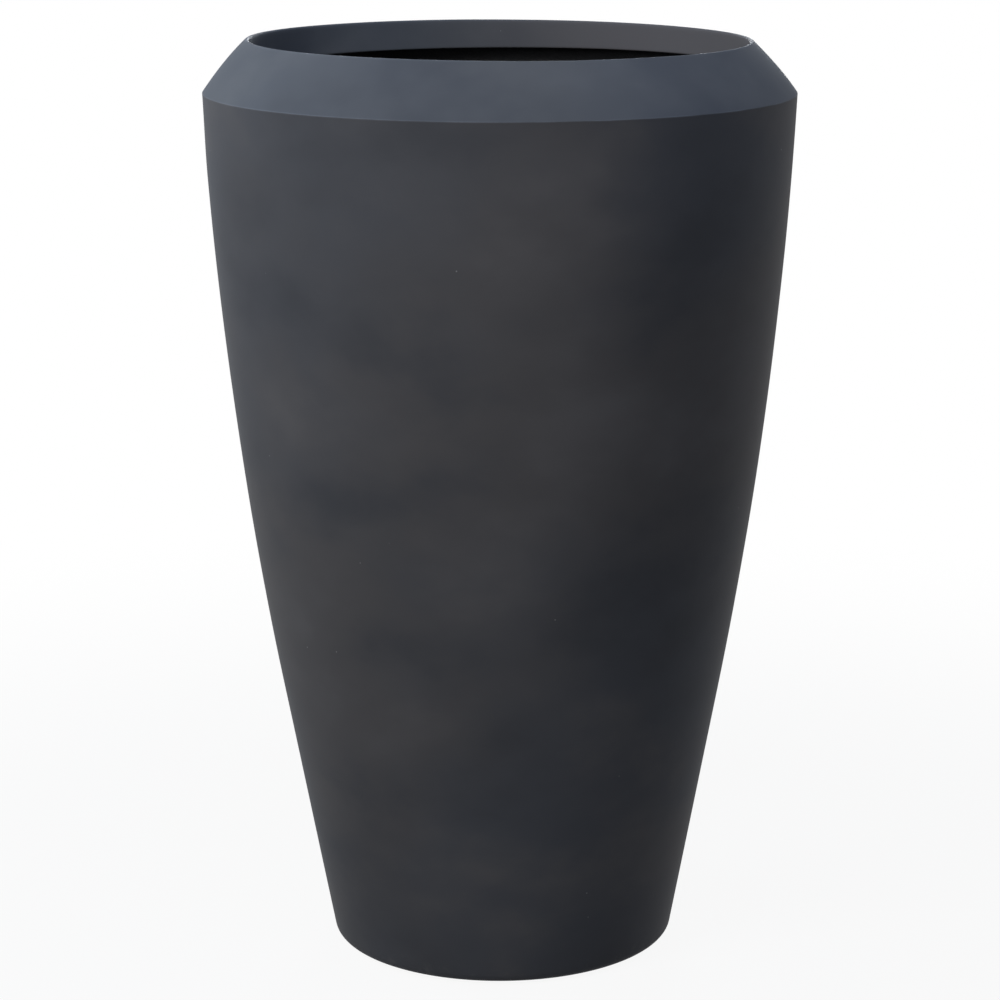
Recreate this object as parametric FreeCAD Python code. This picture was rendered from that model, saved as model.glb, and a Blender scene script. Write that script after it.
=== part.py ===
import FreeCAD, Part
import math
import os

# A tall round planter laid up in glass fibre: a tapered body, a rim collar bonded on at the
# crease, a black waterproof coat inside, a drain with its rubber stopper, and four rubber feet.
# Millimetres, +Z up. The origin is on the floor under the middle of the base.
# Every round piece is an outline in the half plane of radius and height, turned about Z.

# Outside form
overall_height = 800.0
collar_rise = 44.5            # from the crease, the widest ring, up to the top of the rim
shoulder_radius = 254.2       # at the crease
mouth_inset = 41.2            # how far the mouth's clear edge lies inside the crease
base_radius = 150.1           # where the cone would meet the underside without its rounding
wall_lean = 10.64             # degrees from upright, on the cone
arc_height = 528.5            # below the crease the wall is one long arc, and under it a cone
base_corner_radius = 9.4
bevel_radius = 285.0          # the slope from the crease up to the mouth swells by this arc
mouth_edge_radius = 2.0
lip_depth = 26.0              # from the top of the rim down to the lip's free end
crease_round = 0.5            # on the body's and the collar's outer edge where they meet

# Laminates
wall_thickness = 4.5
floor_thickness = 8.0
floor_cove_radius = 14.0
lip_thickness = 4.5
lip_end_round = 1.6
lip_cove_radius = 4.0

# Joint between body and collar
spigot_length = 30.0
spigot_thickness = 4.5
spigot_cove_radius = 12.0
bond_gap = 1.0
bead_width = 3.5
bead_height = 6.0

# Black coat inside
coat_thickness = 1.0
coat_lip_margin = 3.0         # bare end of the lip below the coat
skin_clearance = 0.02         # keeps coat and paste off the round faces that they cover

# Drain bush and stopper
bush_bore_radius = 13.5
bush_wall = 3.5
bush_flange_radius = 26.0
bush_rebate_depth = 2.0
bush_clearance = 0.2
bush_edge_round = 0.8
bore_lead_in = 1.0
plug_flange_radius = 19.0
plug_flange_thickness = 3.0
plug_rib_clearance = 0.08
plug_rib_height = 2.0
plug_rib_stand = 0.9          # how far a rib stands out of the stopper's stem
plug_rib_places = (0.7, 0.3)  # along the stem, as shares of its length from the lower end
plug_end_margin = 0.8         # stopper's end above the mouth of the bush's bore
plug_hollow_radius = 8.0
plug_hollow_depth = 6.5
plug_edge_round = 0.6
knob_neck_radius = 5.5
knob_neck_height = 6.0
knob_radius = 10.0
knob_height = 6.5
knob_round = 2.2

# Feet
foot_count = 4
foot_radius = 16.0
foot_thickness = 2.5
foot_edge_margin = 6.0        # from a foot's edge to the edge of the flat underside
foot_edge_round = 0.6
foot_first_angle = 45.0

# Heights and radii that follow
mouth_radius = shoulder_radius - mouth_inset
shoulder_height = overall_height - collar_rise
wall_bend_height = shoulder_height - arc_height
underside = foot_thickness
floor_top = underside + floor_thickness
coat_top = floor_top + coat_thickness
spigot_foot = shoulder_height - spigot_length
lip_end = overall_height - lip_depth

# Insets of the wall's faces from the outside face, measured square to it
body_inside = wall_thickness
spigot_outside = body_inside + bond_gap
spigot_inside = spigot_outside + spigot_thickness

UP = FreeCAD.Vector(0, 0, 1)


def at(radius, height):
    """A point of an outline."""
    return FreeCAD.Vector(radius, 0, height)


class Outline:
    """A closed path of straight and round runs in the half plane of radius and height."""

    def __init__(self, radius, height):
        self.first = at(radius, height)
        self.here = self.first
        self.edges = []

    def to(self, point):
        """Goes on in a straight run."""
        self.edges.append(Part.LineSegment(self.here, point).toShape())
        self.here = point

    def over(self, middle, point):
        """Goes on in an arc through a middle point."""
        self.edges.append(Part.Arc(self.here, middle, point).toShape())
        self.here = point

    def around(self, centre, point):
        """Goes on the short way round a centre, in an arc of under half a turn."""
        start = self.here - centre
        middle = start + (point - centre)
        middle.Length = start.Length
        self.over(centre + middle, point)

    def turned(self):
        """Closes the path and turns it into a solid ring or disc."""
        if (self.here - self.first).Length > 1e-6:
            self.to(self.first)
        solid = Part.Face(Part.Wire(self.edges)).revolve(at(0, 0), UP, 360)
        if solid.Volume < 0:
            solid.reverse()
        return solid


def meeting(centre_a, radius_a, centre_b, radius_b):
    """The two points where two circles of the half plane cross, lower one first."""
    apart = centre_b - centre_a
    gap = apart.Length
    along = (gap ** 2 + radius_a ** 2 - radius_b ** 2) / (2 * gap)
    aside = math.sqrt(radius_a ** 2 - along ** 2)
    apart.normalize()
    foot = centre_a + apart * along
    square = at(-apart.z, apart.x)
    points = [foot - square * aside, foot + square * aside]
    return sorted(points, key=lambda point: point.z)


def outward(centre, point, length):
    """A step of a given length from a point, straight away from a centre."""
    step = point - centre
    step.Length = length
    return step


def rounded(solid, radius, *corners):
    """Rounds the ring edges of a turned solid that pass through the given outline corners."""
    rings = []
    for edge in solid.Edges:
        if not isinstance(edge.Curve, Part.Circle):
            continue
        ring = at(edge.Curve.Radius, edge.Curve.Center.z)
        if min((ring - corner).Length for corner in corners) < 0.01:
            rings.append(edge)
    return solid.makeFillet(radius, rings)


# The wall's outside face: a cone up to the bend, then an arc that leaves it smoothly and
# reaches the crease. The faces inside it are the same cone and arc, set in.

lean = math.radians(wall_lean)
cone_normal = at(math.cos(lean), -math.sin(lean))
crease = at(shoulder_radius, shoulder_height)
bend = at(base_radius + (wall_bend_height - underside) * math.tan(lean), wall_bend_height)
bend_to_crease = crease - bend
wall_arc_radius = -bend_to_crease.dot(bend_to_crease) / (2 * bend_to_crease.dot(cone_normal))
wall_centre = bend - cone_normal * wall_arc_radius


def wall_point(height, inset):
    """The point of the wall at a height, on the face set in by an inset."""
    turn = bend - cone_normal * inset
    if height < turn.z:
        return at(turn.x - (turn.z - height) * math.tan(lean), height)
    reach = math.sqrt((wall_arc_radius - inset) ** 2 - (height - wall_centre.z) ** 2)
    return at(wall_centre.x + reach, height)


def follow_wall(outline, height, inset):
    """Carries an outline up or down the wall to a height."""
    turn = bend - cone_normal * inset
    end = wall_point(height, inset)
    if outline.here.z < turn.z < height:
        outline.to(turn)
        outline.around(wall_centre, end)
    elif height < turn.z < outline.here.z:
        outline.around(wall_centre, turn)
        outline.to(end)
    elif height < turn.z:
        outline.to(end)
    else:
        outline.around(wall_centre, end)


# The slope above the crease: an arc that starts at the crease and runs smoothly into the
# small round of the mouth's edge.

edge_centre = at(mouth_radius + mouth_edge_radius, overall_height - mouth_edge_radius)
bevel_centre = meeting(crease, bevel_radius, edge_centre, bevel_radius - mouth_edge_radius)[0]


def bevel_height(radius, inset):
    """The height of the slope at a radius, on the face set in by an inset."""
    return bevel_centre.z + math.sqrt((bevel_radius - inset) ** 2 - (radius - bevel_centre.x) ** 2)


def bevel_point(height, inset):
    """The point of the slope at a height, on the face set in by an inset."""
    reach = math.sqrt((bevel_radius - inset) ** 2 - (height - bevel_centre.z) ** 2)
    return at(bevel_centre.x + reach, height)


def flat_edge_radius():
    """Where the flat underside ends and its corner rounding starts."""
    return base_radius - base_corner_radius * (1 / math.cos(lean) - math.tan(lean))


def body_shell():
    """The tapered body with its floor, open at the top, with the drain hole and its rebate."""
    hole_radius = bush_bore_radius + bush_wall + bush_clearance
    rebate_radius = bush_flange_radius + bush_clearance
    rebate_floor = floor_top - bush_rebate_depth
    corner_centre = at(flat_edge_radius(), underside + base_corner_radius)
    outline = Outline(hole_radius, underside)
    outline.to(at(flat_edge_radius(), underside))
    outline.around(corner_centre, corner_centre + cone_normal * base_corner_radius)
    edge_round = wall_point(shoulder_height - crease_round, crease_round)
    follow_wall(outline, (edge_round + outward(wall_centre, edge_round, crease_round)).z, 0)
    outline.around(edge_round, at(edge_round.x, shoulder_height))
    outline.to(wall_point(shoulder_height, body_inside))
    follow_wall(outline, floor_top, body_inside)
    floor_corner = outline.here
    outline.to(at(rebate_radius, floor_top))
    outline.to(at(rebate_radius, rebate_floor))
    outline.to(at(hole_radius, rebate_floor))
    return rounded(outline.turned(), floor_cove_radius, floor_corner)


def collar_hidden_side(extra):
    """Corners of the collar's hidden side, set in by a little extra, from the lip to the spigot."""
    lip_back = mouth_radius + lip_thickness + extra
    under_lip = at(lip_back, bevel_height(lip_back, wall_thickness + extra))
    spigot_top = meeting(bevel_centre, bevel_radius - wall_thickness - extra,
                         wall_centre, wall_arc_radius - spigot_inside - extra)[1]
    return under_lip, spigot_top


def rim_collar():
    """The slope, the mouth's edge, the lip inside it, and the spigot that goes into the body."""
    under_lip, spigot_top = collar_hidden_side(0)
    edge_round = bevel_point(shoulder_height + crease_round, crease_round)
    outline = Outline(edge_round.x, shoulder_height)
    outline.around(edge_round, edge_round + outward(bevel_centre, edge_round, crease_round))
    top = edge_centre + outward(bevel_centre, edge_centre, mouth_edge_radius)
    outline.around(bevel_centre, top)
    outline.around(edge_centre, at(mouth_radius, edge_centre.z))
    outline.to(at(mouth_radius, lip_end))
    outline.to(at(mouth_radius + lip_thickness, lip_end))
    outline.to(under_lip)
    outline.around(bevel_centre, spigot_top)
    follow_wall(outline, spigot_foot, spigot_inside)
    outline.to(wall_point(spigot_foot, spigot_outside))
    follow_wall(outline, shoulder_height, spigot_outside)
    lip_corners = (at(mouth_radius, lip_end), at(mouth_radius + lip_thickness, lip_end))
    collar = rounded(outline.turned(), lip_end_round, *lip_corners)
    collar = rounded(collar, lip_cove_radius, under_lip)
    return rounded(collar, spigot_cove_radius, spigot_top)


def rim_bond():
    """The paste between spigot and body, with the bead squeezed out under the spigot."""
    paste_outside = body_inside + skin_clearance
    paste_inside = spigot_outside - skin_clearance
    bead_foot = spigot_foot - bead_height
    outline = Outline(wall_point(shoulder_height, paste_outside).x, shoulder_height)
    follow_wall(outline, bead_foot, paste_outside)
    swell = wall_point(spigot_foot - bead_height / 4, spigot_outside + bead_width / 2)
    outline.over(swell, wall_point(spigot_foot, spigot_outside + bead_width))
    outline.to(wall_point(spigot_foot, paste_inside))
    follow_wall(outline, shoulder_height, paste_inside)
    return outline.turned()


def inner_sealcoat():
    """The coat on the floor and the inner wall, from the bush up to the bead of paste."""
    coat_outside = body_inside + skin_clearance
    coat_inside = coat_outside + coat_thickness
    coat_end = spigot_foot - bead_height
    bush_edge = bush_flange_radius + bush_clearance
    outline = Outline(bush_edge, floor_top)
    outline.to(wall_point(floor_top, coat_outside))
    floor_corner = outline.here
    follow_wall(outline, coat_end, coat_outside)
    outline.to(wall_point(coat_end, coat_inside))
    follow_wall(outline, coat_top, coat_inside)
    coat_corner = outline.here
    outline.to(at(bush_edge, coat_top))
    coat = rounded(outline.turned(), floor_cove_radius, floor_corner)
    return rounded(coat, floor_cove_radius - coat_thickness, coat_corner)


def collar_sealcoat():
    """The same coat on the collar's hidden side, from the back of the lip to the spigot's foot."""
    coat_face = skin_clearance + coat_thickness
    under_lip, spigot_top = collar_hidden_side(skin_clearance)
    coat_under_lip, coat_spigot_top = collar_hidden_side(coat_face)
    coat_end = lip_end + coat_lip_margin
    outline = Outline(under_lip.x, coat_end)
    outline.to(under_lip)
    outline.around(bevel_centre, spigot_top)
    follow_wall(outline, spigot_foot, spigot_inside + skin_clearance)
    outline.to(wall_point(spigot_foot, spigot_inside + coat_face))
    follow_wall(outline, coat_spigot_top.z, spigot_inside + coat_face)
    outline.around(bevel_centre, coat_under_lip)
    outline.to(at(coat_under_lip.x, coat_end))
    coat = rounded(outline.turned(), lip_cove_radius, under_lip)
    coat = rounded(coat, spigot_cove_radius, spigot_top)
    coat = rounded(coat, lip_cove_radius - coat_thickness, coat_under_lip)
    return rounded(coat, spigot_cove_radius - coat_thickness, coat_spigot_top)


def drain_bush():
    """The flanged bush in the drain hole. Its flange lies flush with the coat round it."""
    barrel_radius = bush_bore_radius + bush_wall
    flange_foot = floor_top - bush_rebate_depth
    outline = Outline(bush_bore_radius, underside)
    outline.to(at(barrel_radius, underside))
    outline.to(at(barrel_radius, flange_foot))
    outline.to(at(bush_flange_radius, flange_foot))
    outline.to(at(bush_flange_radius, coat_top))
    outline.to(at(bush_bore_radius + bore_lead_in, coat_top))
    outline.to(at(bush_bore_radius, coat_top - bore_lead_in))
    return rounded(outline.turned(), bush_edge_round, at(bush_flange_radius, coat_top))


def drain_plug():
    """The rubber stopper: hollow stem with two ribs, flange on the bush, and a knob to pull."""
    rib_radius = bush_bore_radius - plug_rib_clearance
    stem_radius = rib_radius - plug_rib_stand
    stem_end = underside + plug_end_margin
    flange_top = coat_top + plug_flange_thickness
    knob_foot = flange_top + knob_neck_height
    knob_top = knob_foot + knob_height
    stem_length = coat_top - bore_lead_in - stem_end
    outline = Outline(0, knob_top)
    outline.to(at(knob_radius, knob_top))
    outline.to(at(knob_radius, knob_foot))
    outline.to(at(knob_neck_radius, knob_foot))
    outline.to(at(knob_neck_radius, flange_top))
    outline.to(at(plug_flange_radius, flange_top))
    outline.to(at(plug_flange_radius, coat_top))
    outline.to(at(stem_radius, coat_top))
    for share in plug_rib_places:
        middle = stem_end + share * stem_length
        outline.to(at(stem_radius, middle + plug_rib_height / 2))
        outline.over(at(rib_radius, middle), at(stem_radius, middle - plug_rib_height / 2))
    outline.to(at(stem_radius, stem_end))
    outline.to(at(plug_hollow_radius, stem_end))
    outline.to(at(plug_hollow_radius, stem_end + plug_hollow_depth))
    outline.to(at(0, stem_end + plug_hollow_depth))
    knob_corners = (at(knob_radius, knob_top), at(knob_radius, knob_foot))
    plug = rounded(outline.turned(), knob_round, *knob_corners)
    return rounded(plug, plug_edge_round, at(plug_flange_radius, flange_top),
                   at(knob_neck_radius, flange_top), at(stem_radius, stem_end))


def foot_pad(angle):
    """One round rubber foot, stuck to the flat underside near its edge."""
    circle_radius = flat_edge_radius() - foot_edge_margin - foot_radius
    outline = Outline(0, 0)
    outline.to(at(foot_radius, 0))
    outline.to(at(foot_radius, foot_thickness))
    outline.to(at(0, foot_thickness))
    pad = rounded(outline.turned(), foot_edge_round, at(foot_radius, 0))
    pad.translate(at(circle_radius, 0))
    pad.rotate(at(0, 0), UP, angle)
    return pad


pieces = {
    "body_shell": body_shell(),
    "rim_collar": rim_collar(),
    "rim_bond": rim_bond(),
    "inner_sealcoat": inner_sealcoat(),
    "collar_sealcoat": collar_sealcoat(),
    "drain_bush": drain_bush(),
    "drain_plug": drain_plug(),
}
for number in range(foot_count):
    pieces[f"foot_pad_{number + 1}"] = foot_pad(foot_first_angle + number * 360 / foot_count)

os.makedirs("parts", exist_ok=True)
for name, piece in pieces.items():
    piece.exportStep(f"parts/{name}.step")
    print(f"{name}: {len(piece.Solids)} solid, valid {piece.isValid()}, {piece.Volume / 1000:.1f} cm3")
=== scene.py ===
# %% [markdown]
# # A tall fibreglass planter, from bare mouldings to a portrait
#
# The real thing is a tapered pot laid up by hand: glass mat and resin in a mould, a sloping
# collar glued on around the mouth, a matte charcoal finish outside and a black waterproof coat
# inside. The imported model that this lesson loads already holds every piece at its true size.
# What is added here is what the eye wants: fine skins with the small unevenness of hand work,
# finishes with depth, soft light, and a camera where the photographer stood. Loading comes
# first, because the frame is the one thing that all the rest is measured from.

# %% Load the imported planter
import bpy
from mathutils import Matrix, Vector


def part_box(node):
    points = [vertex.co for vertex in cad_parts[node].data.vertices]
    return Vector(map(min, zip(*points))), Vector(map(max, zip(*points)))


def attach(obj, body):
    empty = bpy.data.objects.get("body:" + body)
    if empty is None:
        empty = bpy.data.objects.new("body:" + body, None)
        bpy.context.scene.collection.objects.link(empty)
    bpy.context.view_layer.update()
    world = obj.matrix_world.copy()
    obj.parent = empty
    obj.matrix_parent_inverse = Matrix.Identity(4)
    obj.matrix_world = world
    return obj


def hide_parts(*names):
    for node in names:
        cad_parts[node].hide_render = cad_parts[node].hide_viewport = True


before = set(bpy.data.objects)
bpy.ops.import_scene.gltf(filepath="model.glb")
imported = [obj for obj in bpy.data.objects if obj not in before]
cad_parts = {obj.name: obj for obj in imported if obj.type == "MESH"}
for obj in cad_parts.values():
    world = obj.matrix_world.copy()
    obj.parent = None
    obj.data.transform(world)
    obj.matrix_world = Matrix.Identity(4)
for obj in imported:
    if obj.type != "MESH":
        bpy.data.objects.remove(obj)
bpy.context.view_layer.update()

print("pieces:", ", ".join(sorted(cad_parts)))

# %% [markdown]
# ## A ruler
#
# Blender works in metres. A planter is thought of in millimetres, so one name keeps the two
# apart, and every size below reads as it would on the mould maker's drawing. The heights come
# from the frame where a piece's box gives them, so that a skin can't drift from its piece.

# %% Read the heights from the frame
import math

import bpy
from mathutils import Matrix, Vector, noise

mm = 0.001
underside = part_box("body_shell")[0].z
crease_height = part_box("body_shell")[1].z
top_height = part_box("rim_collar")[1].z
spigot_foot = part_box("rim_collar")[0].z
coat_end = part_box("inner_sealcoat")[1].z
floor_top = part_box("inner_sealcoat")[0].z
print(f"underside {underside / mm:.1f}, floor {floor_top / mm:.1f}, crease {crease_height / mm:.1f}, "
      f"top {top_height / mm:.1f} mm")

# %% [markdown]
# ## The camera
#
# A long lens from about two and three quarter metres, a little above the rim and looking down,
# gives the flat ellipse of the mouth and the round sweep of the base. The planter stood left of
# the lens's middle and the picture was cropped around it, which a sideways lens shift repeats:
# turning the camera toward the planter instead would tilt the mouth the other way.

# %% Place the camera
camera_place = Vector((85.4 * mm, -2662.9 * mm, 1016.0 * mm))
camera_pitch = math.radians(13.10)
camera_roll = math.radians(0.22)
lens_data = bpy.data.cameras.new("portrait_lens")
lens_data.sensor_width = 36.0
lens_data.lens = 111.7
lens_data.shift_x = -0.0985
camera = bpy.data.objects.new("portrait_camera", lens_data)
bpy.context.scene.collection.objects.link(camera)
turn_down = Matrix.Rotation(math.pi / 2 - camera_pitch, 4, "X")
turn_level = Matrix.Rotation(camera_roll, 4, "Z")
camera.matrix_world = Matrix.Translation(camera_place) @ turn_down @ turn_level
bpy.context.scene.camera = camera
print(f"camera {camera_place.length:.2f} m from the foot of the planter, lens {lens_data.lens} mm")

# %% [markdown]
# ## Writing a finish as a sum
#
# Shader nodes can be wired by hand in the editor, or one line at a time in Python, and both
# soon hide the idea behind the plumbing. Here a small class wraps a socket and gives it the
# usual signs, so `1 - mask` adds the Math node itself. Every other node comes from one method.

# %% Wrap a socket
class Wire:
    """An output socket that can stand in a sum. Each sign adds one Math node."""

    def __init__(self, socket):
        self.socket = socket

    def maths(self, operation, *values):
        """Adds one Math node to the wire's tree and feeds it the values."""
        node = self.socket.id_data.nodes.new("ShaderNodeMath")
        node.operation = operation
        for socket, value in zip(node.inputs, values):
            feed(socket, value)
        return Wire(node.outputs[0])

    def __add__(self, other):
        return self.maths("ADD", self, other)

    __radd__ = __add__

    def __sub__(self, other):
        return self.maths("SUBTRACT", self, other)

    def __rsub__(self, other):
        return self.maths("SUBTRACT", other, self)

    def __mul__(self, other):
        return self.maths("MULTIPLY", self, other)

    __rmul__ = __mul__

    def __gt__(self, other):
        return self.maths("GREATER_THAN", self, other)


def feed(socket, value):
    """Links a wire to a socket, or sets the socket's own value."""
    if isinstance(value, Wire):
        socket.id_data.links.new(value.socket, socket)
    else:
        socket.default_value = value


# %% Build a tree of nodes
class Tree:
    """A node tree that grows by one method. The others are short names for nodes in common use."""

    def __init__(self, owner):
        owner.use_nodes = True
        self.tree = owner.node_tree
        self.tree.nodes.clear()

    def node(self, kind, settings, values, result=None):
        """Adds a node: its settings first, then its sockets. Gives back the named output."""
        node = self.tree.nodes.new(kind)
        for name, value in settings.items():
            setattr(node, name, value)
        for name, value in values.items():
            feed(next(s for s in node.inputs if s.enabled and s.name == name), value)
        if result is None:
            return node
        return Wire(next(s for s in node.outputs if s.enabled and s.name == result))

    def place(self, stretch=(1.0, 1.0, 1.0), turn=(0.0, 0.0, 0.0)):
        """The point of the piece being shaded, stretched or turned for a texture."""
        point = self.node("ShaderNodeTexCoord", {}, {}, "Object")
        if stretch == (1.0, 1.0, 1.0) and turn == (0.0, 0.0, 0.0):
            return point
        return self.node("ShaderNodeMapping", {"vector_type": "POINT"},
                         {"Vector": point, "Scale": stretch, "Rotation": turn}, "Vector")

    def cloud(self, point, scale, detail=2.0, roughness=0.5):
        """Soft noise between 0 and 1. The scale is in features to the metre."""
        return self.node("ShaderNodeTexNoise", {"noise_dimensions": "3D"},
                         {"Vector": point, "Scale": scale, "Detail": detail, "Roughness": roughness},
                         "Fac")

    def step(self, value, low, high):
        """Rises smoothly from 0 to 1 as the value goes from low to high."""
        return self.node("ShaderNodeMapRange", {"interpolation_type": "SMOOTHSTEP"},
                         {"Value": value, "From Min": low, "From Max": high}, "Result")

    def length(self, point):
        """How far a point lies from the origin."""
        return self.node("ShaderNodeVectorMath", {"operation": "LENGTH"}, {"Vector": point}, "Value")

    def axis(self, point, letter):
        """One coordinate of a point, by its letter."""
        return self.node("ShaderNodeSeparateXYZ", {}, {"Vector": point}, letter)

    def mix(self, share, first, second):
        """One colour turning into another."""
        return self.node("ShaderNodeMix", {"data_type": "RGBA"},
                         {"Factor": share, "A": first, "B": second}, "Result")

    def bump(self, relief, depth, under=None):
        """Turns a relief between 0 and 1 into a normal, as deep as the depth in metres."""
        values = {"Height": relief, "Distance": depth, "Strength": 1.0}
        if under is not None:
            values["Normal"] = under
        return self.node("ShaderNodeBump", {}, values, "Normal")

    def coat_of(self, colour, roughness, relief, gloss=0.5):
        """The shader of a plain coat. A gloss of 0.5 is that of common plastic and lacquer."""
        return self.node("ShaderNodeBsdfPrincipled", {},
                         {"Base Color": colour, "Roughness": roughness, "Normal": relief,
                          "Specular IOR Level": gloss}, "BSDF")


def finish(name, paint):
    """A material whose surface is the shader that paint(tree) gives."""
    material = bpy.data.materials.new(name)
    tree = Tree(material)
    shader = paint(tree)
    tree.node("ShaderNodeOutputMaterial", {}, {"Surface": shader})
    print(f"finish {name}: {len(material.node_tree.nodes)} nodes")
    return material


def rgb(red, green, blue):
    """A colour for a socket."""
    return (red, green, blue, 1.0)


# %% [markdown]
# ## The room
#
# A catalogue picture has no room at all: a white sweep, and light that comes from everywhere.
# A curved backdrop would do it, but so does a wide floor whose own brightness, for the camera's
# rays only, is white. Near the planter a twelfth of it stays real paint, so that the planter keeps
# a faint shadow. The world is white to the eye as well, and lights the planter very little.

# %% Paint the floor
floor_grey = rgb(0.4, 0.4, 0.4)
plain_white = rgb(1.0, 1.0, 1.0)
shadow_share = 0.08
shadow_full, shadow_gone = 0.5, 1.6


def seen(tree):
    """1 where a ray comes from the camera, a mirror or a pane, and 0 for the light itself."""
    rays = [tree.node("ShaderNodeLightPath", {}, {}, name)
            for name in ("Is Camera Ray", "Is Glossy Ray", "Is Transmission Ray")]
    return rays[0].maths("MINIMUM", rays[0] + rays[1] + rays[2], 1.0)


def floor_paint(tree):
    """Pale paint that shows white, and still takes a shadow."""
    paint = tree.node("ShaderNodeBsdfDiffuse", {}, {"Color": floor_grey}, "BSDF")
    white = tree.node("ShaderNodeEmission", {}, {"Color": plain_white, "Strength": 1.0}, "Emission")
    near = 1 - tree.step(tree.length(tree.place()), shadow_full, shadow_gone)
    mixed = tree.node("ShaderNodeMixShader", {}, {"Fac": seen(tree) * (1 - shadow_share * near)})
    feed(mixed.inputs[1], paint)
    feed(mixed.inputs[2], white)
    return Wire(mixed.outputs[0])


# %% Lay the floor
floor_half_width = 30.0
signs = ((-1, -1), (1, -1), (1, 1), (-1, 1))
corners = [(x * floor_half_width, y * floor_half_width, 0.0) for x, y in signs]
floor_mesh = bpy.data.meshes.new("floor")
floor_mesh.from_pydata(corners, [], [(0, 1, 2, 3)])
floor = bpy.data.objects.new("floor", floor_mesh)
bpy.context.scene.collection.objects.link(floor)
floor.data.materials.append(finish("floor_paint", floor_paint))

# %% Light the world
world_level = 0.05
world_tint = rgb(0.93, 0.96, 1.0)
world = bpy.data.worlds.new("white_room")
bpy.context.scene.world = world
room = Tree(world)
brightness = world_level + (1 - world_level) * seen(room)
glow = room.node("ShaderNodeBackground", {}, {"Color": world_tint, "Strength": brightness},
                 "Background")
room.node("ShaderNodeOutputWorld", {}, {"Surface": glow})
bpy.context.scene.view_settings.view_transform = "Standard"
print(f"world lights at {world_level} of white")

# %% [markdown]
# ## Soft boxes
#
# Area lamps model the form. Two stand on the left, one in front of the planter and one a little
# behind it, so the wall goes from light to dark around its turn and fades toward the floor. A
# cool one hangs overhead like a window in the roof and lifts the sloping collar off the wall.
# One behind and a faint one on the right keep the far sides from going black, and a small weak
# one by the camera reaches in under the lip. A lamp's watts say little, so each is set by the
# level that it gives at its aim: at level 1 a surface that faces the lamp renders its colour
# about as it is written.

# %% Hang the lamps
def soft_box(name, place, aim, size, level, tint):
    """A square area lamp that lights its aim at a level, whatever its distance."""
    lamp = bpy.data.lights.new(name, "AREA")
    lamp.shape = "SQUARE"
    lamp.size = size
    lamp.color = tint
    beam = Vector(aim) - Vector(place)
    lamp.energy = level * math.pi ** 2 * beam.length_squared
    box = bpy.data.objects.new(name, lamp)
    bpy.context.scene.collection.objects.link(box)
    box.location = place
    box.rotation_euler = beam.to_track_quat("-Z", "Y").to_euler()
    box.visible_camera = False
    print(f"{name}: {lamp.energy:.0f} W from {beam.length:.1f} m")


soft_box("front_box", (-0.9, -1.2, 1.4), (0.0, 0.0, 0.6), 0.7, 0.76, (0.96, 0.98, 1.0))
soft_box("side_box", (-1.5, 0.3, 1.3), (0.0, 0.0, 0.6), 0.8, 0.58, (0.74, 0.86, 1.0))
soft_box("roof_box", (0.3, -0.55, 2.1), (0.0, 0.0, 0.75), 1.2, 0.72, (0.66, 0.76, 1.0))
soft_box("back_box", (0.1, 2.2, 0.9), (0.0, 0.0, 0.5), 0.9, 0.60, (0.92, 0.96, 1.0))
soft_box("right_box", (2.2, 0.5, 0.9), (0.0, 0.0, 0.4), 0.9, 0.06, (0.80, 0.90, 1.0))
soft_box("camera_box", (0.0, -2.6, 1.25), (0.0, 0.2, 0.75), 0.3, 0.05, (1.0, 1.0, 1.0))

# %% [markdown]
# ## The lines of the mould
#
# The wall is drawn once, as a half section: a cone that leans out from the base, then one long
# arc up to the crease, where the slope to the mouth begins. A spline through measured points
# would follow it too, but a cone and two arcs are what the mould maker turned, and the faces
# inside are the same lines set in by the laminate's thickness.

# %% Draw the wall
wall_lean = math.radians(10.64)
base_radius = 150.1 * mm
crease_radius = 254.2 * mm
arc_height = 528.5 * mm
base_corner = 9.4 * mm


def spot(radius, height):
    """A point of the half section."""
    return Vector((radius, height))


cone_normal = spot(math.cos(wall_lean), -math.sin(wall_lean))
crease = spot(crease_radius, crease_height)
bend_height = crease_height - arc_height
bend = spot(base_radius + (bend_height - underside) * math.tan(wall_lean), bend_height)
chord = crease - bend
wall_arc = -chord.dot(chord) / (2 * chord.dot(cone_normal))
wall_centre = bend - cone_normal * wall_arc


def wall(height, inset=0.0):
    """The point of the wall at a height, on the face set in by an inset."""
    turn = bend - cone_normal * inset
    if height < turn.y:
        return spot(turn.x - (turn.y - height) * math.tan(wall_lean), height)
    reach = math.sqrt((wall_arc - inset) ** 2 - (height - wall_centre.y) ** 2)
    return spot(wall_centre.x + reach, height)


print(f"bend at {bend_height / mm:.0f} mm, wall arc {wall_arc:.2f} m")

# %% Draw the slope and the mouth
mouth_inset = 41.2 * mm
mouth_radius = crease_radius - mouth_inset
mouth_edge = 2.0 * mm
slope_arc = 285.0 * mm
lip_depth = 26.0 * mm
lip_end = top_height - lip_depth
edge_centre = spot(mouth_radius + mouth_edge, top_height - mouth_edge)


def crossing(centre_a, radius_a, centre_b, radius_b):
    """The two points where two circles of the half section cross, the lower one first."""
    apart = centre_b - centre_a
    along = (apart.length ** 2 + radius_a ** 2 - radius_b ** 2) / (2 * apart.length)
    aside = math.sqrt(radius_a ** 2 - along ** 2)
    ahead = apart.normalized()
    foot = centre_a + ahead * along
    across = Vector((-ahead.y, ahead.x)) * aside
    return sorted((foot - across, foot + across), key=lambda point: point.y)


slope_centre = crossing(crease, slope_arc, edge_centre, slope_arc - mouth_edge)[0]
print(f"mouth {2 * mouth_radius / mm:.0f} mm across, lip ends at {lip_end / mm:.0f} mm")

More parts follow.
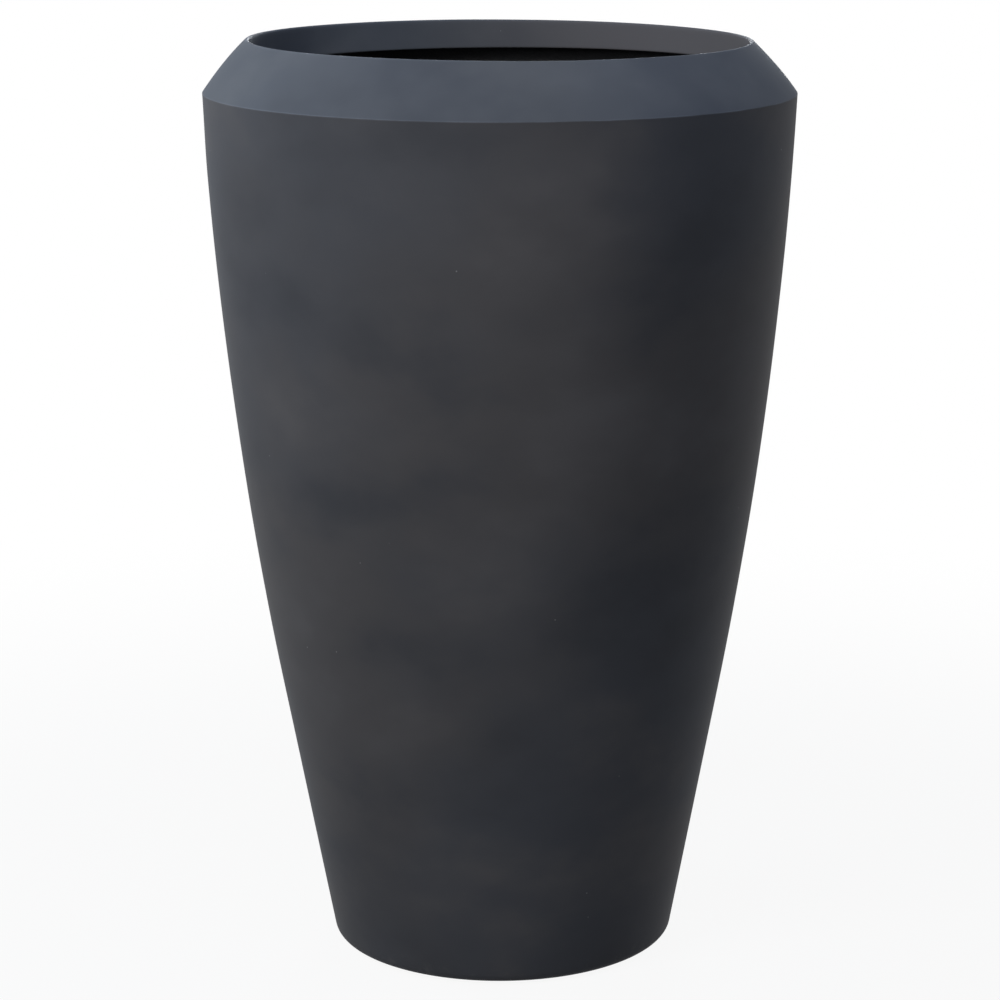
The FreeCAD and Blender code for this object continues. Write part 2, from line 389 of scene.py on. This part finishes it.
# %% [markdown]
# ## Legs and corners
#
# A half section is easiest to read as legs that meet at corners: up the wall, across the edge,
# down the inside. Real laminate has no sharp corner, and a sharp one also shades badly, so
# each meeting gets a small round. A Bevel modifier could do it afterwards, but rounding the
# line itself keeps the rings evenly spaced and the mesh all quads.

# %% Sample the legs
def arc_leg(centre, start, end, count):
    """Points along the short way round a centre, from start to end."""
    first = math.atan2(start.y - centre.y, start.x - centre.x)
    sweep = math.atan2(end.y - centre.y, end.x - centre.x) - first
    sweep = (sweep + math.pi) % (2 * math.pi) - math.pi
    radius = (start - centre).length
    angles = [first + sweep * i / count for i in range(count + 1)]
    return [centre + radius * spot(math.cos(a), math.sin(a)) for a in angles]


def straight_leg(start, end, count=1):
    """Evenly spaced points from start to end."""
    return [start.lerp(end, i / count) for i in range(count + 1)]


def wall_leg(low, high, inset, ring_gap=5.0 * mm):
    """Points up the wall, or down it, about one ring gap apart."""
    count = max(1, round(abs(high - low) / ring_gap))
    return [wall(low + (high - low) * i / count, inset) for i in range(count + 1)]


# %% Round the corners
round_places = (0.18, 0.39, 0.61, 0.82)
longest_last_step = 2.5


def cut_back(leg, reach):
    """The leg without its last stretch, with one more point to hold the surface flat there."""
    left = list(leg)
    while (left[-1] - left[-2]).length <= reach:
        reach -= (left[-1] - left[-2]).length
        left.pop()
    last = left[-1] - left[-2]
    end = left[-1] - last.normalized() * reach
    left[-1] = end
    if (left[-1] - left[-2]).length > longest_last_step * reach:
        left.insert(-1, end - last.normalized() * reach)
    return left


def outline(*legs_and_rounds):
    """Joins legs into one closed line. Each leg is followed by the round at its end."""
    legs = [list(leg) for leg in legs_and_rounds[0::2]]
    rounds = legs_and_rounds[1::2]
    corners = [leg[-1] for leg in legs]
    for i, reach in enumerate(rounds):
        if reach:
            after = (i + 1) % len(legs)
            legs[i] = cut_back(legs[i], reach)
            legs[after] = cut_back(legs[after][::-1], reach)[::-1]
    line = []
    for i, reach in enumerate(rounds):
        line += legs[i] if not line else legs[i][0 if rounds[i - 1] else 1:]
        if reach:
            start, end = legs[i][-1], legs[(i + 1) % len(legs)][0]
            for t in round_places:
                line.append(start.lerp(corners[i], t).lerp(corners[i].lerp(end, t), t))
    if (line[0] - line[-1]).length < 1e-9:
        line.pop()
    return line


# %% [markdown]
# ## Made by hand
#
# A hand-laid moulding is never quite round: it creeps in the mould, the crease is sanded more on
# one side than on the other, and the mouth dips where the collar was glued a touch low. A
# Displace modifier on each piece would shift them apart, so one field of small moves is used for
# all: it depends on the place alone, and pieces that touch go on touching. It only ever moves a
# surface inward or down, so nothing leaves the true size.

# %% The hand-made field
creep = 0.4 * mm
creep_starts, creep_full = 40 * mm, 200 * mm
sanding = 1.1 * mm
sanding_reach = 70 * mm
mouth_dip = 1.1 * mm
elsewhere = Vector((7, 3, 1))


def within_one(value):
    """The value, kept between 0 and 1."""
    return min(1.0, max(0.0, value))


def ease(value, low, high):
    """Rises smoothly from 0 to 1 between low and high."""
    t = within_one((value - low) / (high - low))
    return t * t * (3 - 2 * t)


def by_hand(point):
    """Where a point of the ideal planter ends up on the real one."""
    swell = noise.noise(point * 5.0) + 0.4 * noise.noise(point * 13.0 + elsewhere)
    inward = creep * within_one(0.5 + 0.6 * swell) * ease(point.z, creep_starts, creep_full)
    on_collar = ease(point.z, crease_height, top_height)
    at_crease = ease(point.z, crease_height - sanding_reach, crease_height) - on_collar
    inward += sanding * (0.5 - 0.5 * point.x / crease_radius) * at_crease
    shrink = 1 - inward / math.hypot(point.x, point.y)
    lean = 0.5 + 0.5 * point.x / mouth_radius
    drop = mouth_dip * within_one(lean + 0.25 * noise.noise(point * 9.0)) * on_collar
    return Vector((point.x * shrink, point.y * shrink, point.z - drop))


# %% [markdown]
# ## Turning a skin
#
# A lathe is a Screw modifier in Blender, but then the surface can't be touched point by point.
# Turning the half section in Python gives the same even grid of quads, and each point goes
# through the hand-made field on its way, and through a finer relief where a piece asks for one.

# %% Turn a closed outline
sectors = 288


def turned(name, line, relief=None):
    """A closed ring with the outline as its section. relief(point, place) moves a point of it."""
    points = []
    for place, p in enumerate(line):
        for sector in range(sectors):
            angle = 2 * math.pi * sector / sectors
            point = Vector((p.x * math.cos(angle), p.x * math.sin(angle), p.y))
            if relief is not None:
                point += relief(point, place)
            points.append(by_hand(point))
    faces = []
    for ring in range(len(line)):
        above = (ring + 1) % len(line)
        for sector in range(sectors):
            beside = (sector + 1) % sectors
            faces.append((ring * sectors + sector, ring * sectors + beside,
                          above * sectors + beside, above * sectors + sector))
    mesh = bpy.data.meshes.new(name)
    mesh.from_pydata(points, [], faces)
    area = sum(a.x * b.y - b.x * a.y for a, b in zip(line, line[1:] + line[:1]))
    if area > 0:
        mesh.flip_normals()
    mesh.polygons.foreach_set("use_smooth", [True] * len(faces))
    mesh.update()
    piece = bpy.data.objects.new(name, mesh)
    bpy.context.scene.collection.objects.link(piece)
    print(f"{name}: {len(line)} rings of {sectors}")
    return piece


# %% [markdown]
# ## The body
#
# The body is a tapered shell about 4.5 mm thick with a flat floor and a drain hole. Its
# outside comes smooth off the mould. It is turned as one closed skin, outside, edge, inside,
# floor and hole, so that it has a real thickness wherever it is looked into.

# %% Turn the body
laminate = 4.5 * mm
floor_cove = 14.0 * mm
bush_clearance = 0.2 * mm
bush_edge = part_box("drain_bush")[1].x + bush_clearance
hole_radius = 17.2 * mm
rebate_depth = 2.0 * mm
rebate_floor = floor_top - rebate_depth
edge_ease = 0.3 * mm
flat_edge = base_radius - base_corner * (1 / math.cos(wall_lean) - math.tan(wall_lean))
corner_centre = spot(flat_edge, underside + base_corner)
under_rings, corner_rings = 12, 10
cove_rings, floor_rings = 8, 14


def down_and_in(top, inset, floor_height, cove, stop_radius):
    """Down the inside of the wall, round the cove, and in across the floor."""
    centre = wall(floor_height + cove, inset + cove)
    leave = centre + cone_normal * cove
    down = wall_leg(top, leave.y, inset)
    round_in = arc_leg(centre, leave, spot(centre.x, floor_height), cove_rings)
    in_floor = straight_leg(round_in[-1], spot(stop_radius, floor_height), floor_rings)
    return down[:-1] + round_in + in_floor[1:]


def body_line():
    """The half section of the body."""
    under = straight_leg(spot(hole_radius, underside), spot(flat_edge, underside), under_rings)
    corner_end = corner_centre + cone_normal * base_corner
    corner = arc_leg(corner_centre, under[-1], corner_end, corner_rings)
    up = wall_leg(corner[-1].y, crease_height, 0.0)
    outside = under + corner[1:] + up[1:]
    inside = down_and_in(crease_height, laminate, floor_top, floor_cove, bush_edge)
    rebate = spot(bush_edge, rebate_floor)
    neck = spot(hole_radius, rebate_floor)
    return outline(outside, edge_ease,
                   straight_leg(crease, inside[0]), edge_ease,
                   inside, edge_ease,
                   straight_leg(inside[-1], rebate), 0,
                   straight_leg(rebate, neck), edge_ease,
                   straight_leg(neck, under[0]), edge_ease)


body_skin = turned("body_skin", body_line())
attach(body_skin, "planter")
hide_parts("body_shell")

# %% [markdown]
# ## The collar
#
# The collar is moulded by itself, since a pot that narrows at the mouth can't leave a one-piece
# mould. Its slope swells a little, its edge is rounded by two millimetres, and the lip inside
# hangs free. Below the crease a short spigot goes down into the body. It could be part of the
# body's skin, but two skins let the crease between them catch the light as the real joint does.

# %% Draw the collar
lip = 4.5 * mm
lip_end_ease = 1.6 * mm
under_lip_ease = 3.0 * mm
spigot_top_ease = 4.0 * mm
bond_gap = 1.0 * mm
spigot = 4.5 * mm
spigot_outside = laminate + bond_gap
spigot_inside = spigot_outside + spigot
slope_rings, hidden_rings = 22, 14
edge_rings, lip_rings, lip_back_rings = 8, 8, 2


def hidden_line(extra):
    """The corner behind the lip, and the legs down the slope's underside and the spigot's inside."""
    back = mouth_radius + lip + extra
    reach = slope_arc - laminate - extra
    under_lip = spot(back, slope_centre.y + math.sqrt(reach ** 2 - (back - slope_centre.x) ** 2))
    top = crossing(slope_centre, reach, wall_centre, wall_arc - spigot_inside - extra)[1]
    under_slope = arc_leg(slope_centre, under_lip, top, hidden_rings)
    return under_lip, under_slope, wall_leg(top.y, spigot_foot, spigot_inside + extra)


def collar_line():
    """The half section of the collar."""
    under_lip, under_slope, spigot_down = hidden_line(0.0)
    away = (edge_centre - slope_centre).normalized() * mouth_edge
    slope = arc_leg(slope_centre, crease, edge_centre + away, slope_rings)
    edge = arc_leg(edge_centre, slope[-1], spot(mouth_radius, edge_centre.y), edge_rings)
    down_lip = straight_leg(edge[-1], spot(mouth_radius, lip_end), lip_rings)
    lip_back = spot(mouth_radius + lip, lip_end)
    spigot_up = wall_leg(spigot_foot, crease_height, spigot_outside)
    return outline(slope + edge[1:] + down_lip[1:], lip_end_ease,
                   straight_leg(down_lip[-1], lip_back), lip_end_ease,
                   straight_leg(lip_back, under_lip, lip_back_rings), under_lip_ease,
                   under_slope, spigot_top_ease,
                   spigot_down, edge_ease,
                   straight_leg(spigot_down[-1], spigot_up[0]), edge_ease,
                   spigot_up, 0,
                   straight_leg(spigot_up[-1], crease), edge_ease)


# %% Turn the collar
lip_trim = 1.5 * mm
trim_full, trim_gone = 2 * mm, 10 * mm
lip_margin = 0.5 * mm


def hand_trimmed(point, place):
    """Trims the lip's lower end a little deeper on one side than on the other."""
    on_lip = math.hypot(point.x, point.y) < mouth_radius + lip + lip_margin
    if not on_lip or point.z > lip_end + trim_gone:
        return Vector()
    fade = 1 - ease(point.z, lip_end + trim_full, lip_end + trim_gone)
    return Vector((0, 0, fade * lip_trim * point.x / mouth_radius))


collar_skin = turned("collar_skin", collar_line(), hand_trimmed)
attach(collar_skin, "planter")
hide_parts("rim_collar")

# %% [markdown]
# ## The bonding paste
#
# When the collar is pushed home, paste squeezes out below the spigot and is wiped with a
# finger, so its bead swells and thins around the ring. A plain ring would look machined. The
# relief below pushes the bead's free face in and out, and leaves the faces in the joint alone.
# How far the bead's nose and belly hang, and how wide it swells, are shares of its own size.

# %% Draw the paste
bead_height = 6.0 * mm
bead_width = 3.5 * mm
bead_rings = 6
nose_drop, swell_drop = 0.02, 0.6
swell_width = 0.75
skin_gap = 0.02 * mm


def paste_line():
    """The paste's outer leg, its bead, and its whole half section: a thin film with the bead under it."""
    bead_foot = spigot_foot - bead_height
    outer = wall_leg(crease_height, bead_foot, laminate + skin_gap)
    nose = wall(spigot_foot - nose_drop * bead_height, spigot_outside + bead_width)
    swell = wall(spigot_foot - swell_drop * bead_height, spigot_outside + swell_width * bead_width)
    shares = [i / bead_rings for i in range(bead_rings + 1)]
    bead = [outer[-1].lerp(swell, t).lerp(swell.lerp(nose, t), t) for t in shares]
    inner = wall_leg(spigot_foot, crease_height, spigot_outside - skin_gap)
    ring = outline(outer, 0, bead, 0, straight_leg(bead[-1], inner[0]), 0,
                   inner, 0, straight_leg(inner[-1], outer[0]), 0)
    return outer, bead, ring


# %% Turn the paste
paste_outer, paste_bead, paste_ring = paste_line()
bead_first = len(paste_outer)
bead_last = bead_first + len(paste_bead) - 2
wipe_depth = 1.3 * mm
thinnest = -0.7
droop = Vector((0, 0, 0.5))


def finger_wiped(point, place):
    """Swells and thins the bead's free face."""
    if not bead_first <= place <= bead_last:
        return Vector()
    inside = Vector((-point.x, -point.y, 0)).normalized()
    depth = math.sin(math.pi * (place - bead_first + 1) / len(paste_bead))
    swell = noise.noise(point * 26.0) * 0.9 + noise.noise(point * 90.0) * 0.35
    return (inside - droop) * max(thinnest, swell) * depth * wipe_depth


paste_skin = turned("paste_skin", paste_ring, finger_wiped)
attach(paste_skin, "planter")
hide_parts("rim_bond")

# %% [markdown]
# ## The black coats
#
# Inside, the rough back of the laminate is brushed with a rubbery black coat. It fills the
# glass strands only half, and it sags a little down the wall. Bump alone would look printed
# on at the silhouette of the mouth, so the larger waves are real, and the strands are left to
# the finish. Body and collar are coated before they are joined, so there are two skins.

# %% Turn the coat of the body
coat = 1.0 * mm
coat_wave = 0.32 * mm
wall_stretch = Vector((1.0, 1.0, 0.45))
floor_waves_end, wall_waves_start = 4 * mm, 16 * mm


def coat_line():
    """How many points the coat's back has, and its half section: back, top end and face."""
    back_inset = laminate + skin_gap
    back = down_and_in(coat_end, back_inset, floor_top, floor_cove, bush_edge)[::-1]
    face = down_and_in(coat_end, back_inset + coat, floor_top + coat, floor_cove - coat, bush_edge)
    line = outline(back, 0, straight_leg(back[-1], face[0]), edge_ease, face, 0,
                   straight_leg(face[-1], back[0]), 0)
    return len(back), line


def brushed(first_of_face):
    """A relief for the face of a coat: waves of brush and sag, none on its back."""
    def relief(point, place):
        if place <= first_of_face:
            return Vector()
        wave = noise.noise(point * wall_stretch * 42.0) + 0.55 * noise.noise(point * 95.0)
        on_floor = 1 - ease(point.z, floor_top + floor_waves_end, floor_top + wall_waves_start)
        out = Vector((point.x, point.y, 0)).normalized()
        return out.lerp(Vector((0, 0, -1)), on_floor) * wave * coat_wave
    return relief


back_count, inner_line = coat_line()
inner_coat = turned("inner_coat", inner_line, brushed(back_count))

# %% Turn the coat of the collar
bare_lip_end = 3.0 * mm
coat_spigot_top_ease = 3.6 * mm
coat_under_lip_ease = 2.4 * mm


def collar_coat_line():
    """The half section of the coat on the collar's hidden side."""
    start = lip_end + bare_lip_end
    under_lip, slope_back, spigot_back = hidden_line(skin_gap)
    face_corner, slope_face, spigot_face = hidden_line(skin_gap + coat)
    lip_back = straight_leg(spot(under_lip.x, start), under_lip, lip_back_rings)
    lip_face = straight_leg(face_corner, spot(face_corner.x, start), lip_back_rings)
    return outline(lip_back, under_lip_ease, slope_back, spigot_top_ease, spigot_back, 0,
                   straight_leg(spigot_back[-1], spigot_face[-1]), 0,
                   spigot_face[::-1], coat_spigot_top_ease, slope_face[::-1], coat_under_lip_ease,
                   lip_face, 0, straight_leg(lip_face[-1], lip_back[0]), 0)


collar_coat = turned("collar_coat", collar_coat_line())
for skin, node in ((inner_coat, "inner_sealcoat"), (collar_coat, "collar_sealcoat")):
    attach(skin, "planter")
    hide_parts(node)

# %% [markdown]
# ## The charcoal finish
#
# The outside is a sprayed matte coat over gelcoat. From two steps away it reads as one dark
# grey, yet no two hand spans of it are alike: clouds of warmer and cooler pigment, a fine
# sprayed tooth, rare pale pinholes, and a paler line along the crease and the mouth's edge,
# partly wear where hands and cloths rub and partly a painted highlight where the edges catch
# the light. One flat dark colour would look like a hole in the picture, so the clouds
# carry the finish, and everything finer stays faint.

# %% Mark wear and a painted edge highlight on the coat
pinhole_grey = rgb(0.24, 0.24, 0.24)
scuff_grey = rgb(0.11, 0.105, 0.10)
# Widths of the paler bands at the crease and the mouth's edge: wear, and a painted highlight.
crease_wear_and_highlight, mouth_wear_and_highlight = 1.0 * mm, 1.6 * mm
scuff_low, scuff_high = 4 * mm, 26 * mm


def shade(colour, factor):
    """A colour made lighter or darker."""
    return rgb(*(channel * factor for channel in colour[:3]))


def near_height(tree, height, level, reach):
    """1 at a level and 0 further than a reach above or below it."""
    away = height.maths("ABSOLUTE", height - level)
    return 1 - tree.step(away, 0.0, reach)


def worn_and_highlit(tree, place, height):
    """Patches along the crease and the mouth's edge: wear where hands and cloths rub, and a painted
    highlight where the edges catch the light.
    """
    at_crease = near_height(tree, height, crease_height, crease_wear_and_highlight)
    at_mouth = near_height(tree, height, top_height, mouth_wear_and_highlight)
    return (at_crease + at_mouth) * tree.step(tree.cloud(place, 22.0, 3.0), 0.35, 0.65)


def pinholes(tree, place):
    """Rare dots a millimetre across, in three of ten cells of a loose pattern."""
    cells = tree.node("ShaderNodeTexVoronoi", {"feature": "F1"}, {"Vector": place, "Scale": 38.0})
    dot = 1 - tree.step(Wire(cells.outputs["Distance"]), 0.014, 0.026)
    chance = tree.node("ShaderNodeSeparateColor", {}, {"Color": Wire(cells.outputs["Color"])}, "Red")
    return dot * (chance > 0.7)


def scuffed(tree, place, height):
    """Patches just above the floor, where shoes and brooms reach."""
    low = 1 - tree.step(height, scuff_low, scuff_high)
    return low * tree.step(tree.cloud(place, 60.0, 4.0, 0.7), 0.5, 0.72)


# %% [markdown]
# ## Clouds in the coat
#
# The slope of the collar is painted lighter and bluer than the body: painted light, standing in for the
# cool lamp overhead that falls on the upward slope. The lip inside the mouth is painted lighter and
# warmer toward its right side,
# where the lamps on the left fall on it: painted light as well. Two clouds do the rest, a large slow one
# between warm and cool, and a smaller one that lightens here and darkens there. Painting the clouds by
# hand would put each in its exact place, but they would then be a picture, and not a finish for any
# planter.

# %% Mix the charcoal
body_warm = rgb(0.0535, 0.0515, 0.0530)
body_cool = rgb(0.0460, 0.0480, 0.0545)
# The collar's two tones are painted lighter and bluer than the body's: painted light from the cool lamp
# overhead on the upward slope.
collar_warm_painted_skylight = rgb(0.064, 0.068, 0.074)
collar_cool_painted_skylight = rgb(0.054, 0.060, 0.071)
# The lip's tone is painted light, lighter and warmer than the collar where the lamps on the left fall on
# it.
lip_painted_light = rgb(0.076, 0.070, 0.071)
lip_inner, lip_outer = mouth_radius + 0.2 * mm, mouth_radius + 1.4 * mm
lip_light_begins, lip_light_full = -110 * mm, 130 * mm


def clouded(tree, warm, cool, smoke):
    """Slow clouds between a warm and a cool charcoal, with lighter and darker smoke over them."""
    temper = tree.step(tree.cloud(tree.place(turn=(0.0, 0.5, 0.0)), 3.4, 3.0, 0.45), 0.36, 0.64)
    colour = tree.mix(temper, warm, cool)
    colour = tree.mix(tree.step(smoke, 0.48, 0.76), colour, shade(warm, 1.28))
    return tree.mix(tree.step(smoke, 0.52, 0.24), colour, shade(cool, 0.76))


def painted_light_on_lip(tree, place):
    """Painted light: rises toward the right side of the lip, which faces the lamps on the left, and is 0
    everywhere off the lip.
    """
    across = tree.length(tree.place(stretch=(1.0, 1.0, 0.0)))
    on_lip = 1 - tree.step(across, lip_inner, lip_outer)
    return on_lip * tree.step(tree.axis(place, "X"), lip_light_begins, lip_light_full)


def charcoal_paint(warm, cool, lip=None):
    """The sprayed finish, between a warm and a cool charcoal. The lip can take painted light, lighter and
    warmer toward its right side.
    """
    def paint(tree):
        place = tree.place()
        height = tree.axis(place, "Z")
        smoke = tree.cloud(tree.place(stretch=(0.8, 0.8, 1.2), turn=(0.0, 0.6, 0.0)), 8.0, 4.0, 0.5)
        tooth = tree.cloud(place, 1400.0, 2.0, 0.6)
        wear_and_highlight = worn_and_highlit(tree, place, height)
        colour = clouded(tree, warm, cool, smoke)
        if lip is not None:
            # Painted light on the lip: lighter and warmer toward its right side, where the lamps fall.
            colour = tree.mix(painted_light_on_lip(tree, place) * 0.85, colour, lip)
        colour = tree.mix(tooth * 0.08, colour, shade(warm, 1.8))
        # Paler line along the crease and the mouth: partly wear, partly a painted highlight.
        colour = tree.mix(wear_and_highlight * 0.25, colour, shade(cool, 3.0))
        colour = tree.mix(pinholes(tree, place) * 0.8, colour, pinhole_grey)
        colour = tree.mix(scuffed(tree, place, height) * 0.3, colour, scuff_grey)
        roughness = 0.54 + 0.10 * smoke + 0.06 * tooth - 0.08 * wear_and_highlight
        relief = tree.bump(tree.cloud(place, 240.0, 3.0, 0.5), 0.04 * mm)
        relief = tree.bump(tooth, 0.015 * mm, relief)
        return tree.coat_of(colour, roughness, relief, 0.06)
    return paint


charcoal_body = finish("charcoal_body", charcoal_paint(body_warm, body_cool))
charcoal_collar = finish("charcoal_collar", charcoal_paint(collar_warm_painted_skylight, collar_cool_painted_skylight, lip_painted_light))
body_skin.data.materials.append(charcoal_body)
collar_skin.data.materials.append(charcoal_collar)

# %% [markdown]
# ## The black coat inside
#
# Chopped strand mat is glass in short straight bundles thrown down at every angle. Through the
# coat they print as faint crossed ridges. A strand texture could be drawn by hand, but noise
# that is turned and then stretched long and narrow gives the same look, laid down five times
# with the highest of them kept. The coat itself is half glossy, streaked by the brush.

# %% Mix the black coat
coat_deep = rgb(0.014, 0.014, 0.015)
coat_dull = rgb(0.026, 0.026, 0.027)
coat_on_glass = rgb(0.045, 0.045, 0.046)
bundle_turns = ((0.3, 0.0, 0.2), (1.1, 0.5, 0.0), (1.9, 0.2, 0.9), (2.6, 1.0, 0.4), (0.7, 2.1, 1.3))
bundle_stretch = (1.0, 1.0, 14.0)


def strands(tree):
    """Crossed ridges, each bundle about 25 mm long and 2 mm wide."""
    highest = None
    for turn in bundle_turns:
        point = tree.node("ShaderNodeMapping", {"vector_type": "TEXTURE"},
                          {"Vector": tree.place(), "Rotation": turn, "Scale": bundle_stretch}, "Vector")
        layer = tree.step(tree.cloud(point, 520.0, 1.0, 0.4), 0.56, 0.72)
        highest = layer if highest is None else highest.maths("MAXIMUM", highest, layer)
    return highest


def coat_paint(tree):
    """Rubbery black with the mat printing through it."""
    strokes = tree.cloud(tree.place(stretch=(1.0, 1.0, 0.3)), 48.0, 3.0, 0.55)
    mat = strands(tree)
    dull = tree.cloud(tree.place(), 14.0, 3.0, 0.55)
    colour = tree.mix(dull * 0.8, coat_deep, coat_dull)
    colour = tree.mix(mat * 0.3, colour, coat_on_glass)
    relief = tree.bump(mat, 0.14 * mm)
    relief = tree.bump(strokes, 0.35 * mm, relief)
    return tree.coat_of(colour, 0.22 + 0.16 * dull + 0.08 * strokes, relief)


black_coat = finish("black_coat", coat_paint)
for skin in (inner_coat, collar_coat):
    skin.data.materials.append(black_coat)

# %% [markdown]
# ## Paste, bush and rubber
#
# The small pieces down inside are seldom seen, yet each has its own stuff: grey filled paste
# with air pricks, a moulded black bush with faint turning lines, and rubber that has bloomed a
# little pale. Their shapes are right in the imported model, so bush, stopper and feet keep their
# own meshes and only take a finish.

# %% Mix the paste
paste_dark = rgb(0.085, 0.085, 0.088)
paste_pale = rgb(0.15, 0.15, 0.15)
prick_black = rgb(0.03, 0.03, 0.03)


def paste_paint(tree):
    """Grey filled resin, rubbed and pricked."""
    smear = tree.cloud(tree.place(stretch=(1.0, 1.0, 3.0)), 60.0, 4.0, 0.6)
    prick = 1 - tree.step(tree.node("ShaderNodeTexVoronoi", {"feature": "F1"},
                                    {"Vector": tree.place(), "Scale": 420.0}, "Distance"), 0.10, 0.30)
    colour = tree.mix(smear, paste_dark, paste_pale)
    colour = tree.mix(prick * 0.6, colour, prick_black)
    relief = tree.bump(smear - prick * 0.6, 0.3 * mm)
    return tree.coat_of(colour, 0.62 + 0.15 * smear, relief)


paste_skin.data.materials.append(finish("paste", paste_paint))

# %% Mix the bush's plastic and the rubber
bush_dark = rgb(0.028, 0.028, 0.029)
bush_hazy = rgb(0.048, 0.048, 0.049)
rubber_black = rgb(0.032, 0.032, 0.033)
rubber_bloom = rgb(0.085, 0.085, 0.084)


def bush_paint(tree):
    """Moulded plastic with turning lines from its mould."""
    place = tree.place()
    rings = tree.node("ShaderNodeTexWave", {"wave_type": "RINGS", "rings_direction": "Z"},
                      {"Vector": place, "Scale": 420.0, "Distortion": 0.4, "Detail": 1.0}, "Fac")
    haze = tree.cloud(place, 160.0, 4.0, 0.6)
    colour = tree.mix(haze, bush_dark, bush_hazy)
    return tree.coat_of(colour, 0.30 + 0.18 * haze, tree.bump(rings, 0.015 * mm))


def rubber_paint(tree):
    """Black rubber with pale bloom and a fine eroded tooth."""
    place = tree.place()
    bloom = tree.step(tree.cloud(place, 120.0, 5.0, 0.65), 0.42, 0.70)
    tooth = tree.cloud(place, 2600.0, 2.0, 0.6)
    colour = tree.mix(bloom * 0.5, rubber_black, rubber_bloom)
    return tree.coat_of(colour, 0.66 + 0.16 * bloom, tree.bump(tooth, 0.03 * mm), 0.4)


bush_plastic = finish("bush_plastic", bush_paint)
rubber = finish("rubber", rubber_paint)

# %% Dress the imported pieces
def dress(node, material):
    """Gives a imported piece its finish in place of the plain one."""
    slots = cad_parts[node].data.materials
    slots.clear()
    slots.append(material)


dress("drain_bush", bush_plastic)
dress("drain_plug", rubber)
for number in range(1, 5):
    dress(f"foot_pad_{number}", rubber)
